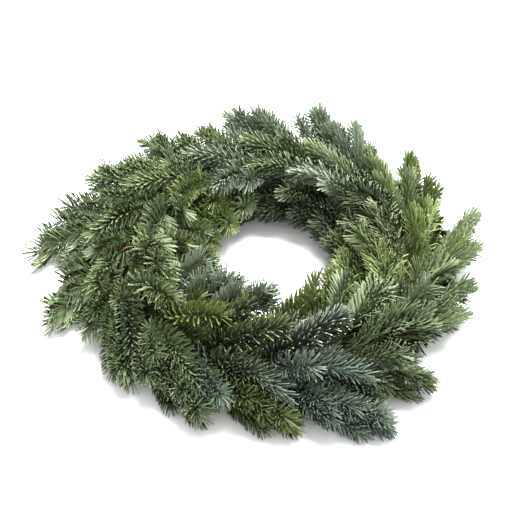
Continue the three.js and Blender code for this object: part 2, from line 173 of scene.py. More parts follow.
class FinishSheet:
    """The nodes of one material."""

    RELIEF_STRENGTH = 0.6

    def __init__(self, name: str) -> None:
        """Start a material with no nodes.

        Args:
            name: The material's name.
        """
        self.material = bpy.data.materials.new(name)
        self.material.use_nodes = True
        self.tree = self.material.node_tree
        self.tree.nodes.clear()

    def add(
        self,
        kind: str,
        settings: dict[str, Any] | None = None,
        feeds: dict[int | str, Any] | None = None,
    ) -> bpy.types.Node:
        """Add a node.

        Args:
            kind: The node's type.
            settings: Its own settings, set first.
            feeds: What goes into its sockets: a Reading, a socket or a plain value.

        Returns:
            The new node.
        """
        node = self.tree.nodes.new(kind)
        for name, value in (settings or {}).items():
            setattr(node, name, value)
        for key, value in (feeds or {}).items():
            if isinstance(value, Reading):
                value = value.socket
            if isinstance(value, bpy.types.NodeSocket):
                self.tree.links.new(value, node.inputs[key])
            else:
                node.inputs[key].default_value = value
        return node

    def mix(self, base: Any, over: Any, share: Any) -> bpy.types.NodeSocket:
        """Mix two colours, from base at share 0 to over at share 1."""
        feeds = {0: share, 6: base, 7: over}
        return self.add("ShaderNodeMix", {"data_type": "RGBA"}, feeds).outputs[2]

    def noise(self, scale: float, detail: float = 2.0, roughness: float = 0.5) -> Reading:
        """A noise in the object's own coordinates.

        Args:
            scale: Waves a metre.
            detail: Octaves of finer noise.
            roughness: Strength of the finer ones.

        Returns:
            The noise, from 0 to 1.
        """
        place = self.add("ShaderNodeTexCoord").outputs["Object"]
        feeds = {"Vector": place, "Scale": scale, "Detail": detail, "Roughness": roughness}
        return Reading(self, self.add("ShaderNodeTexNoise", {}, feeds).outputs["Fac"])

    def attribute(self, name: str) -> bpy.types.Node:
        """A node that reads one of the mesh's own attributes."""
        return self.add("ShaderNodeAttribute", {"attribute_name": name})

    def growth(self) -> tuple[Reading, ...]:
        """The three values of a spray's growth attribute.

        Returns:
            On a needle, the share of its length, its own tint and its twig's. On bark, how young
            it is, a chance, and how much of a bud.
        """
        vector = self.attribute("growth").outputs["Vector"]
        split = self.add("ShaderNodeSeparateXYZ", {}, {0: vector})
        return tuple(Reading(self, socket) for socket in split.outputs)

    def finish(
        self, feeds: dict[int | str, Any], bump: Reading, height: float
    ) -> bpy.types.Material:
        """Close the material with a Principled shader.

        Args:
            feeds: The shader's sockets.
            bump: The relief of the surface.
            height: How high the relief is.

        Returns:
            The finished material.
        """
        relief_feeds = {"Height": bump, "Distance": height, "Strength": self.RELIEF_STRENGTH}
        relief = self.add("ShaderNodeBump", {}, relief_feeds)
        feeds = {**feeds, "Normal": relief.outputs["Normal"]}
        shader = self.add("ShaderNodeBsdfPrincipled", {}, feeds)
        self.add("ShaderNodeOutputMaterial", {}, {"Surface": shader.outputs["BSDF"]})
        return self.material


# ---------------------------------------------------------------- finishes


@dataclass(frozen=True)
class NeedleFinish:
    """Waxy fir needles: each has its own tint, a pale underside, painted shade at its root and a
    lighter tip.

    The tint, from shaded to lit, adds up the needle's own, its twig's and a slow noise.
    """

    name: str
    slot: str
    shaded: int
    lit: int
    under: int
    tip: int
    tip_share: float = 0.5
    root_shade_share: float = 0.6
    # Painted shade: this dark colour is laid over each needle's root half, where the foliage lies
    # deep.
    root: int = 0x161E0E
    tip_start: float = 0.6
    root_shade_end: float = 0.5
    chance_share: float = 0.45
    twig_share: float = 0.35
    patch_share: float = 0.5
    shade_floor: float = 0.15
    patch_scale: float = 26.0
    fleck_scale: float = 700.0
    under_share: float = 0.45
    under_fleck: float = 0.4
    roughness: float = 0.5
    rough_fleck: float = 0.15
    relief: float = 0.1 * MM

    def material(self) -> bpy.types.Material:
        """Build the needle material from the growth and underside attributes.

        Returns:
            The material.
        """
        sheet = FinishSheet(f"{self.name}-fir-needles")
        along, chance, twig = sheet.growth()
        under = Reading(sheet, sheet.attribute("underside").outputs["Fac"])
        patch = sheet.noise(self.patch_scale, 3.0)
        fleck = sheet.noise(self.fleck_scale)
        tint = chance * self.chance_share + twig * self.twig_share + patch * self.patch_share
        tint = (tint - self.shade_floor).smooth(0.0, 1.0)
        top = sheet.mix(colour(self.shaded), colour(self.lit), tint)
        near_tip = along.smooth(self.tip_start, 1.0)
        top = sheet.mix(top, colour(self.tip), near_tip * self.tip_share)
        pale = under * (self.under_share + fleck * self.under_fleck)
        face = sheet.mix(top, colour(self.under), pale)
        # Painted shade, darkest at the needle's root and fading out along it.
        painted_root_shade = 1 - along.smooth(0.0, self.root_shade_end)
        face = sheet.mix(face, colour(self.root), painted_root_shade * self.root_shade_share)
        rough = self.roughness + fleck * self.rough_fleck
        return sheet.finish({"Base Color": face, "Roughness": rough}, fleck, self.relief)


@dataclass(frozen=True)
class BarkFinish:
    """Twig bark: grey-brown and cracked where old, smooth and green-brown where young."""

    name: str = "fir-twig-bark"
    old: int = 0x3E3426
    young: int = 0x5C5A34
    bud: int = 0x5E4A2C
    crack: int = 0x33271C
    crack_scale: float = 420.0
    streak_scale: float = 90.0
    youth_range: tuple[float, float] = (0.1, 0.75)
    crack_range: tuple[float, float] = (0.35, 0.5)
    streak_range: tuple[float, float] = (0.4, 0.7)
    streak_share: float = 0.3
    bud_share: float = 0.7
    young_smoothness: float = 0.7
    roughness: float = 0.85
    young_gloss: float = 0.25
    relief: float = 0.4 * MM

    def material(self) -> bpy.types.Material:
        """Build the bark material from the growth attribute.

        Returns:
            The material.
        """
        sheet = FinishSheet(self.name)
        youth, _, bud = sheet.growth()
        scale = sheet.noise(self.crack_scale, 4.0, 0.65)
        streak = sheet.noise(self.streak_scale)
        bark = sheet.mix(colour(self.old), colour(self.young), youth.smooth(*self.youth_range))
        cracked = (1 - scale.smooth(*self.crack_range)) * (1 - youth * self.young_smoothness)
        bark = sheet.mix(bark, colour(self.crack), cracked)
        brown = streak.smooth(*self.streak_range) * self.streak_share + bud * self.bud_share
        bark = sheet.mix(bark, colour(self.bud), brown)
        rough = self.roughness - youth * self.young_gloss
        return sheet.finish({"Base Color": bark, "Roughness": rough}, scale, self.relief)


@dataclass(frozen=True)
class CutWoodFinish:
    """The pale, slightly resinous wood of a cut stem."""

    wood: int = 0xC79C68
    ring: int = 0x9A6B3C
    grain_scale: float = 1300.0
    grain_range: tuple[float, float] = (0.4, 0.7)
    grain_share: float = 0.7
    stain_scale: float = 160.0
    stain_range: tuple[float, float] = (0.45, 0.75)
    stain_share: float = 0.4
    roughness: float = 0.65
    rough_grain: float = 0.2
    relief: float = 0.15 * MM

    def material(self) -> bpy.types.Material:
        """Build the cut wood material.

        Returns:
            The material.
        """
        sheet = FinishSheet("cut-fir-wood")
        grain = sheet.noise(self.grain_scale, 3.0)
        stain = sheet.noise(self.stain_scale)
        ringed = grain.smooth(*self.grain_range) * self.grain_share
        wood = sheet.mix(colour(self.wood), colour(self.ring), ringed)
        stained = stain.smooth(*self.stain_range) * self.stain_share
        wood = sheet.mix(wood, colour(self.ring), stained)
        rough = self.roughness + grain * self.rough_grain
        return sheet.finish({"Base Color": wood, "Roughness": rough}, grain, self.relief)


@dataclass(frozen=True)
class WireFinish:
    """Dark green baked enamel on steel wire, worn thin in places."""

    enamel: int = 0x24382A
    worn: int = 0x59605A
    wear_scale: float = 210.0
    wear_range: tuple[float, float] = (0.6, 0.72)
    worn_share: float = 0.7
    metal_share: float = 0.6
    peel_scale: float = 900.0
    roughness: float = 0.34
    rough_peel: float = 0.2
    relief: float = 0.1 * MM

    def material(self) -> bpy.types.Material:
        """Build the enamelled wire material.

        Returns:
            The material.
        """
        sheet = FinishSheet("green-enamelled-wire")
        wear = sheet.noise(self.wear_scale, 4.0, 0.6).smooth(*self.wear_range)
        peel = sheet.noise(self.peel_scale)
        feeds = {
            "Base Color": sheet.mix(colour(self.enamel), colour(self.worn), wear * self.worn_share),
            "Metallic": wear * self.metal_share,
            "Roughness": self.roughness + peel * self.rough_peel,
        }
        return sheet.finish(feeds, peel, self.relief)


@dataclass(frozen=True)
class FloorFinish:
    """A matt white studio surface with the faintest mottle."""

    white: int = 0xF7F7F8
    shade: int = 0xF1F1F3
    glow: float = 0.04
    mottle_scale: float = 3.0
    roughness: float = 0.8
    rough_mottle: float = 0.1
    relief: float = 0.05 * MM

    def material(self) -> bpy.types.Material:
        """Build the floor material.

        Returns:
            The material.
        """
        sheet = FinishSheet("white-studio-floor")
        mottle = sheet.noise(self.mottle_scale)
        feeds = {
            "Base Color": sheet.mix(colour(self.white, 1.0), colour(self.shade, 1.0), mottle),
            "Roughness": self.roughness + mottle * self.rough_mottle,
            "Emission Color": colour(self.white, 1.0),
            "Emission Strength": self.glow,
        }
        return sheet.finish(feeds, mottle, self.relief)


def foliage(name: str, slot: str, *looks: Any) -> NeedleFinish:
    """The needles' finish in one tone, with the first word of its slot and its other values."""
    return NeedleFinish(name, f"{slot}_needles", *looks)


class Tone(Enum):
    """The tones of the foliage: needles in shade and in light, their underside and their tips."""

    GLAUCOUS = foliage("glaucous", "glaucous", 0x5E7258, 0x93A588, 0xA1AE95, 0xB4C0A5)
    # A darker copy of the glaucous tone: painted shade on the front sprays that get it.
    PAINTED_SHADE_GLAUCOUS = foliage("painted_shade_glaucous", "glaucous", 0x42564A, 0x6E8270, 0x80907E, 0xA2B09A, 0.5, 0.7)
    FROSTED = foliage("frosted", "glaucous", 0x182116, 0x33442F, 0x5A6A54, 0xD6DFCF, 0.9, 0.85)
    SAGE = foliage("sage", "sage", 0x4C623E, 0x7E9462, 0x8F9E78, 0x9EAC7E)
    # A darker copy of the sage tone with pale tips: painted shade on the bodies of its sprays.
    PAINTED_SHADE_SAGE = foliage("painted_shade_sage", "sage", 0x34452A, 0x5E7445, 0x6E7E5C, 0xA6B48A, 0.7, 0.75)
    # A lighter copy of the green tone: painted light, mostly on the sprays of the left side.
    PAINTED_LIGHT_GREEN = foliage("pale", "green", 0x5E744A, 0x93AA70, 0xA2B08A, 0xAEBE92)
    GREEN = foliage("green", "green", 0x52663C, 0x869A60, 0x97A57C, 0xA6B486)
    FRESH = foliage("fresh", "green", 0x4E6432, 0x869C52, 0x93A368, 0xA4B26C)
    OLIVE = foliage("olive", "olive", 0x3E4E28, 0x66783F, 0x7C8A58, 0x8C9858, 0.5, 0.8)
    LIME = foliage("lime", "lime", 0x3E4C1E, 0x66762D, 0x707E41, 0x808F40, 0.25, 0.85)
    DEEP = foliage("deep", "deep", 0x1E2814, 0x364626, 0x465436, 0xA4B060, 0.85, 0.85)
    # A darker copy of the deep tone with dull tips: painted shade on the sprays of the hole's back
    # wall.
    SHADE = foliage("shade", "deep", 0x12190D, 0x263219, 0x39462C, 0x687444, 0.6, 0.85)


class Bark(Enum):
    """The barks: grey-brown under dense needles, warmer where the twigs show between them."""

    GREY = BarkFinish()
    BROWN = BarkFinish("brown-fir-twig-bark", 0x4C3826, 0x78663A, 0x76522C, 0x3E2C1C)
    TAN = BarkFinish("tan-fir-twig-bark", 0x544430, 0x727040, 0x6A5430, 0x463A26)


# ---------------------------------------------------------------- shape kit


def lerp(low: float, high: float, share: float) -> float:
    """The number a share of the way from low to high."""
    return low + (high - low) * share


def soft_step(value: float, low: float, high: float) -> float:
    """0 below low, 1 above high, and a soft rise between."""
    share = min(max((value - low) / (high - low), 0.0), 1.0)
    return share * share * (3.0 - 2.0 * share)


def push_cap(
    work: bmesh.types.BMesh, cap: bmesh.types.BMFace
) -> tuple[list[bmesh.types.BMVert], bmesh.types.BMFace]:
    """Extrude a cap where it lies.

    Args:
        work: The mesh.
        cap: The face that closes its end.

    Returns:
        The new ring of points, to be moved on, and the new cap.
    """
    grown = bmesh.ops.extrude_face_region(work, geom=[cap])["geom"]
    ring = [part for part in grown if isinstance(part, bmesh.types.BMVert)]
    return ring, next(part for part in grown if isinstance(part, bmesh.types.BMFace))


def mesh_from(work: bmesh.types.BMesh, name: str) -> bpy.types.Mesh:
    """Turn worked geometry into a mesh, and free it.

    Args:
        work: The geometry.
        name: The mesh's name.

    Returns:
        The mesh.
    """
    mesh = bpy.data.meshes.new(name)
    work.to_mesh(mesh)
    work.free()
    return mesh


def add_object(name: str, data: bpy.types.ID) -> bpy.types.Object:
    """Put something into the scene.

    Args:
        name: The object's name.
        data: Its mesh, light or camera.

    Returns:
        The object.
    """
    thing = bpy.data.objects.new(name, data)
    bpy.context.scene.collection.objects.link(thing)
    return thing


def add_piece(name: str, mesh: bpy.types.Mesh, node: str, slot: str) -> bpy.types.Object:
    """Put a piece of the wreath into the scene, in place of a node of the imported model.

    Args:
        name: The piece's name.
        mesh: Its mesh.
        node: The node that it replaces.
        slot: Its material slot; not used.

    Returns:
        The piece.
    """
    piece = add_object(name, mesh)
    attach(piece, "root")
    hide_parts(node)
    return piece


# ---------------------------------------------------------------- needles


@dataclass(frozen=True)
class NeedleHabit:
    """How a spray grows: how its needles stand round a twig, and how many twigs it has.

    Attributes:
        lean: The needles' angle from the twig, in degrees.
        reach: How far round the twig they stand from its upper side, in degrees.
        parting: How far they are parted to two sides, from 0 to 1.
        flatness: How far their flat faces turn up instead of facing the twig's tip, from 0 to 1.
        length: The length of a needle.
        width: Its width, as a share of the stamp's.
        spacing: The length of twig that each needle has.
        bend: The stamp that most needles use, from straight to curved.
        twigs: The rows of side twigs.
        sprigs: The pairs of short shoots near the tip.
        bark: The bark of its twigs.
    """

    lean: float
    reach: float
    parting: float
    flatness: float
    length: float
    width: float
    spacing: float
    bend: int
    twigs: int
    sprigs: int
    bark: Bark = Bark.GREY


class Habit(Enum):
    """The ways the different sprays grow."""

    BRUSH = NeedleHabit(60, 162, 0.00, 0.25, 21.0 * MM, 1.12, 0.38 * MM, 1, 2, 0)
    COMB = NeedleHabit(59, 135, 0.66, 0.65, 25.0 * MM, 0.86, 0.66 * MM, 1, 3, 2, Bark.TAN)
    FAN = NeedleHabit(56, 140, 0.45, 0.50, 24.0 * MM, 1.02, 0.50 * MM, 1, 3, 2, Bark.BROWN)
    CLOSED = NeedleHabit(52, 165, 0.00, 0.30, 22.0 * MM, 1.15, 0.32 * MM, 1, 2, 0)
    THICK = NeedleHabit(66, 130, 0.00, 0.50, 21.0 * MM, 1.60, 0.50 * MM, 0, 1, 0)


class NeedleStamp:
    """One flat needle of unit length along +Z, its flat face to +Y, stamped into a spray.

    Its section is a flat triangle with the keel below. RINGS gives the section's size at shares
    of the length. The last ring, of size POINT, merges into the needle's point. A face counts as
    the underside where its normal turns below KEEL_TURN.
    """

    WIDTH = 0.082
    KEEL = 0.044
    SIDES = 3
    RINGS = ((0.0, 0.5), (0.35, 1.0), (0.92, 0.84), (1.0, 0.0))
    POINT = 0.01
    MERGE = 0.004
    KEEL_TURN = -0.1

    def __init__(self, bend: float) -> None:
        """Shape the needle.

        Args:
            bend: How far its tip curves towards its flat face, as a share of its length.
        """
        self.bend = bend
        shape = bmesh.new()
        layer = shape.verts.layers.float_vector.new("growth")
        below = shape.faces.layers.float.new("underside")
        # A three-sided circle of radius 1 is the root of 3 wide and 1.5 high.
        flat = Matrix.Diagonal((self.WIDTH / math.sqrt(3.0), self.KEEL / 1.5, 1.0, 1.0))
        section = flat @ Matrix.Rotation(-math.pi / 2, 4, "Z")
        start = bmesh.ops.create_circle(shape, cap_ends=True, segments=self.SIDES, radius=1.0)
        bmesh.ops.transform(shape, matrix=section, verts=start["verts"])
        cap = shape.faces[:][0]
        past = Matrix.Identity(4)
        ring = start["verts"]
        for share, size in self.RINGS:
            if share > 0.0:
                ring, cap = push_cap(shape, cap)
            rise = Matrix.Translation((0.0, bend * share * share, share))
            size = max(size, self.POINT)
            now = rise @ Matrix.Diagonal((size, size, 1.0, 1.0))
            bmesh.ops.transform(shape, matrix=now @ past.inverted(), verts=ring)
            for vert in ring:
                vert[layer] = Vector((share, 0.0, 0.0))
            past = now
        bmesh.ops.remove_doubles(shape, verts=shape.verts[:], dist=self.MERGE)
        bmesh.ops.recalc_face_normals(shape, faces=shape.faces[:])
        for face in shape.faces:
            face[below] = 1.0 if face.normal.y < self.KEEL_TURN else 0.0
            face.smooth = True
        for edge in shape.edges:
            sides = {round(face[below]) for face in edge.link_faces}
            edge.smooth = len(sides) == 1
        self.mesh = mesh_from(shape, "needle-stamp")
        self.rest = [0.0] * (3 * len(self.mesh.vertices))
        self.mesh.vertices.foreach_get("co", self.rest)
        self.growth = [0.0] * len(self.rest)
        self.mesh.attributes["growth"].data.foreach_get("vector", self.growth)

    def press(self, spray: bmesh.types.BMesh, place: Matrix, chance: float, twig: float) -> None:
        """Stamp one needle into a spray.

        Args:
            spray: The spray's mesh.
            place: Where the needle stands, with its length as its scale.
            chance: This needle's own tint, from 0 to 1.
            twig: Its twig's tint, from 0 to 1.
        """
        self.mesh.vertices.foreach_set("co", self.rest)
        self.mesh.transform(place)
        self.growth[1::3] = [chance] * (len(self.growth) // 3)
        self.growth[2::3] = [twig] * (len(self.growth) // 3)
        self.mesh.attributes["growth"].data.foreach_set("vector", self.growth)
        spray.from_mesh(self.mesh, face_normals=False)


# ---------------------------------------------------------------- twigs


@dataclass
class Twig:
    """A curved woody line that carries needles from a bare start to its tip.

    A bud sits on the tip: it is widest at bud_middle of its own radius past the tip, and closes
    at bud_end. The bark is young up to young_radius and old from old_radius.
    """

    root: Vector
    bend: Vector
    tip: Vector
    radius: float
    tip_radius: float = 0.6 * MM
    bare: float = 0.05
    straight: Vector | None = None
    sides: int = 5
    steps: int = 8
    bud_size: tuple[float, float] = (1.1, 1.5)
    bud_middle: float = 0.9
    bud_end: float = 2.4
    bud_point: float = 0.45
    young_radius: float = 0.8 * MM
    old_radius: float = 2.1 * MM
    points: list[Vector] = field(default_factory=list)
    marks: list[float] = field(default_factory=list)

    def __post_init__(self) -> None:
        """Work out the points along the curve and their distances."""
        if self.straight is not None:
            self.points.append(self.straight)
        for i in range(self.steps + 1):
            t = i / self.steps
            start = self.root.lerp(self.bend, t)
            self.points.append(start.lerp(self.bend.lerp(self.tip, t), t))
        self.marks.append(0.0)
        for before, after in zip(self.points, self.points[1:]):
            self.marks.append(self.marks[-1] + (after - before).length)

    @property
    def length(self) -> float:
        """The length along the curve."""
        return self.marks[-1]

    def at(self, share: float) -> tuple[Vector, Vector]:
        """The point and direction at a share of the length.

        Args:
            share: From 0 at the root to 1 at the tip.

        Returns:
            The point, and the direction towards the tip.
        """
        mark = share * self.length
        i = 1
        while i < len(self.points) - 1 and self.marks[i] < mark:
            i += 1
        part = (mark - self.marks[i - 1]) / (self.marks[i] - self.marks[i - 1])
        direction = (self.points[i] - self.points[i - 1]).normalized()
        return self.points[i - 1].lerp(self.points[i], part), direction

    def add_bark(self, spray: bmesh.types.BMesh, layer: Any, rng: random.Random) -> None:
        """Extrude the bark along the curve, with a bud at its tip and a cut end.

        Args:
            spray: The spray's mesh.
            layer: The growth layer of its points.
            rng: The spray's random numbers.
        """
        bud = self.tip_radius * rng.uniform(*self.bud_size)
        tip, ahead = self.at(1.0)
        rows = [
            (point, lerp(self.radius, self.tip_radius, math.sqrt(mark / self.length)), 0.0)
            for point, mark in zip(self.points, self.marks)
        ]
        rows.append((tip + ahead * bud * self.bud_middle, bud, 1.0))
        rows.append((tip + ahead * bud * self.bud_end, bud * self.bud_point, 1.0))
        start = bmesh.ops.create_circle(spray, cap_ends=True, segments=self.sides, radius=1.0)
        ring = start["verts"]
        base = set(ring)
        cap = ring[0].link_faces[0]
        faces = {cap}
        past = Matrix.Identity(4)
        for i, (point, radius, budding) in enumerate(rows):
            if i > 0:
                ring, cap = push_cap(spray, cap)
            before = rows[max(i - 1, 0)][0]
            after = rows[min(i + 1, len(rows) - 1)][0]
            turn = (after - before).to_track_quat("Z", "Y").to_matrix().to_4x4()
            now = Matrix.Translation(point) @ turn @ Matrix.Diagonal((radius, radius, radius, 1.0))
            bmesh.ops.transform(spray, matrix=now @ past.inverted(), verts=ring)
            past = now
            youth = 1.0 - soft_step(radius, self.young_radius, self.old_radius)
            for vert in ring:
                vert[layer] = Vector((youth, rng.random(), budding))
                faces.update(vert.link_faces)
        faces = {face for face in faces if face.is_valid}
        bmesh.ops.recalc_face_normals(spray, faces=list(faces))
        for face in faces:
            face.material_index = CUT_PLACE if set(face.verts) <= base else BARK_PLACE
            face.smooth = face.material_index == BARK_PLACE


# ---------------------------------------------------------------- sprays


@dataclass(frozen=True)
class SprayTip:
    """Where a spray ends, in degrees and millimetres, with its tone and habit."""

    angle: float
    radius: float
    height: float
    tone: Tone
    habit: Habit


# Short names for the table of tips. B, K and H are tones of painted shade, P a tone of painted light.
G, B, F, S, K = Tone.GLAUCOUS, Tone.PAINTED_SHADE_GLAUCOUS, Tone.FROSTED, Tone.SAGE, Tone.PAINTED_SHADE_SAGE
P, N, Y, O = Tone.PAINTED_LIGHT_GREEN, Tone.GREEN, Tone.FRESH, Tone.OLIVE
L, D, H = Tone.LIME, Tone.DEEP, Tone.SHADE
BRUSH, COMB, FAN, CLOSED, THICK = Habit

# Where the four sprays of each bunch end, from the hole outwards and from bunch to bunch: degrees
# round the ring, millimetres out and up, tone and habit.
SPRAY_TIPS: dict[str, list[tuple[float, float, float, Tone, Habit]]] = {
    "inner": [
        (66, 84, 30, H, BRUSH), (92, 88, 30, H, BRUSH), (118, 86, 32, H, BRUSH),
        (142, 76, 36, S, BRUSH), (164, 66, 42, Y, BRUSH), (191, 66, 44, S, BRUSH),
        (216, 70, 52, Y, BRUSH), (244, 75, 58, G, FAN), (271, 84, 58, G, FAN),
        (298, 92, 54, L, THICK), (323, 94, 48, Y, FAN), (350, 86, 44, O, FAN),
        (15, 80, 38, O, FAN), (40, 82, 32, H, FAN),
    ],
    "crown-inner": [
        (44, 124, 58, K, FAN), (74, 126, 60, G, CLOSED), (97, 128, 64, K, CLOSED),
        (121, 114, 58, G, BRUSH), (147, 122, 60, Y, BRUSH), (173, 112, 56, S, FAN),
        (200, 112, 56, N, FAN), (224, 132, 62, N, BRUSH), (250, 126, 64, L, THICK),
        (276, 134, 66, D, BRUSH), (301, 138, 64, F, BRUSH), (326, 138, 66, S, FAN),
        (352, 116, 60, Y, FAN), (20, 120, 60, N, FAN),
    ],
    "crown-outer": [
        (45, 188, 50, N, FAN), (73, 178, 58, S, CLOSED), (97, 190, 54, K, BRUSH),
        (120, 182, 56, G, BRUSH), (146, 190, 50, P, BRUSH), (171, 194, 44, P, BRUSH),
        (197, 190, 40, N, FAN), (226, 194, 36, K, BRUSH), (250, 196, 34, S, BRUSH),
        (275, 198, 36, B, BRUSH), (299, 202, 40, B, BRUSH), (324, 198, 44, K, FAN),
        (350, 192, 50, S, FAN), (18, 194, 50, Y, FAN),
    ],
    "outer": [
        (43, 226, 46, Y, FAN), (76, 246, 54, G, CLOSED), (101, 244, 54, G, BRUSH),
        (128, 238, 50, N, BRUSH), (148, 240, 44, P, BRUSH), (175, 258, 22, P, COMB),
        (200, 236, 16, P, COMB), (228, 206, 14, S, FAN), (252, 214, 14, K, BRUSH),
        (276, 216, 15, O, BRUSH), (298, 244, 14, B, BRUSH), (314, 222, 16, K, FAN),
        (349, 214, 28, S, FAN), (17, 242, 30, P, FAN),
    ],
}


@dataclass
class RingLayout:
    """Points and directions round the ring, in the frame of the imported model."""

    centre: Vector

    def point(self, angle: float, radius: float, height: float) -> Vector:
        """The point at an angle round the ring, a distance from its centre and a height."""
        turn = math.radians(angle)
        return self.centre + Vector((radius * math.cos(turn), radius * math.sin(turn), height))

    def along(self, angle: float) -> Vector:
        """The direction that runs counter-clockwise round the ring at an angle."""
        turn = math.radians(angle)
        return Vector((-math.sin(turn), math.cos(turn), 0.0))

    def outwards(self, point: Vector) -> Vector:
        """The way out of the foliage's round section, square to the ring.

        Args:
            point: A point of the foliage.

        Returns:
            The direction, of length 1.
        """
        flat = Vector((point.x - self.centre.x, point.y - self.centre.y, 0.0))
        core = self.centre + flat.normalized() * RING_RADIUS + UP * FOLIAGE_CORE_HEIGHT
        return (point - core).normalized()

    def allows(self, point: Vector) -> bool:
        """Whether a needle may end here.

        Args:
            point: Its tip.

        Returns:
            True above the surface, out of the hole and inside the box.
        """
        if point.z < FLOOR_GAP:
            return False
        if math.hypot(point.x - self.centre.x, point.y - self.centre.y) < HOLE_RADIUS:
            return False
        low, high = CAD_BOX
        return all(low[i] - BOX_MARGIN < point[i] < high[i] + BOX_MARGIN for i in range(3))


@dataclass(frozen=True)
class NeedleGrowth:
    """How needles vary round and along every twig, whatever the spray's habit.

    They crowd on the upper side, where they are a little shorter and closer to the twig. They
    reach their full length over first_stretch, and close round the bud from tipping_start on. A
    needle whose tip has no room is stunted, or left out. The deviations are standard ones, of the
    place round the twig in degrees and of the lean in radians.
    """

    crowding: float = 1.25
    turn_deviation: float = 1.5
    parted_angle: float = 86.0
    top_lean: float = 0.14
    top_shortness: float = 0.10
    lean_deviation: float = 0.022
    length_spread: tuple[float, float] = (0.94, 1.05)
    tipping_start: float = 0.92
    tip_closing: tuple[float, float] = (0.1, 0.85)
    tip_taper: float = 0.18
    first_length: float = 0.8
    first_stretch: float = 0.15
    stem_length: float = 1.05
    twig_length: float = 0.92
    bend_draw: tuple[int, ...] = (-1, 0, 0, 1)
    floor_clearance: float = 1.6 * FLOOR_GAP
    steepest: float = 0.9
    stunted: float = 0.62


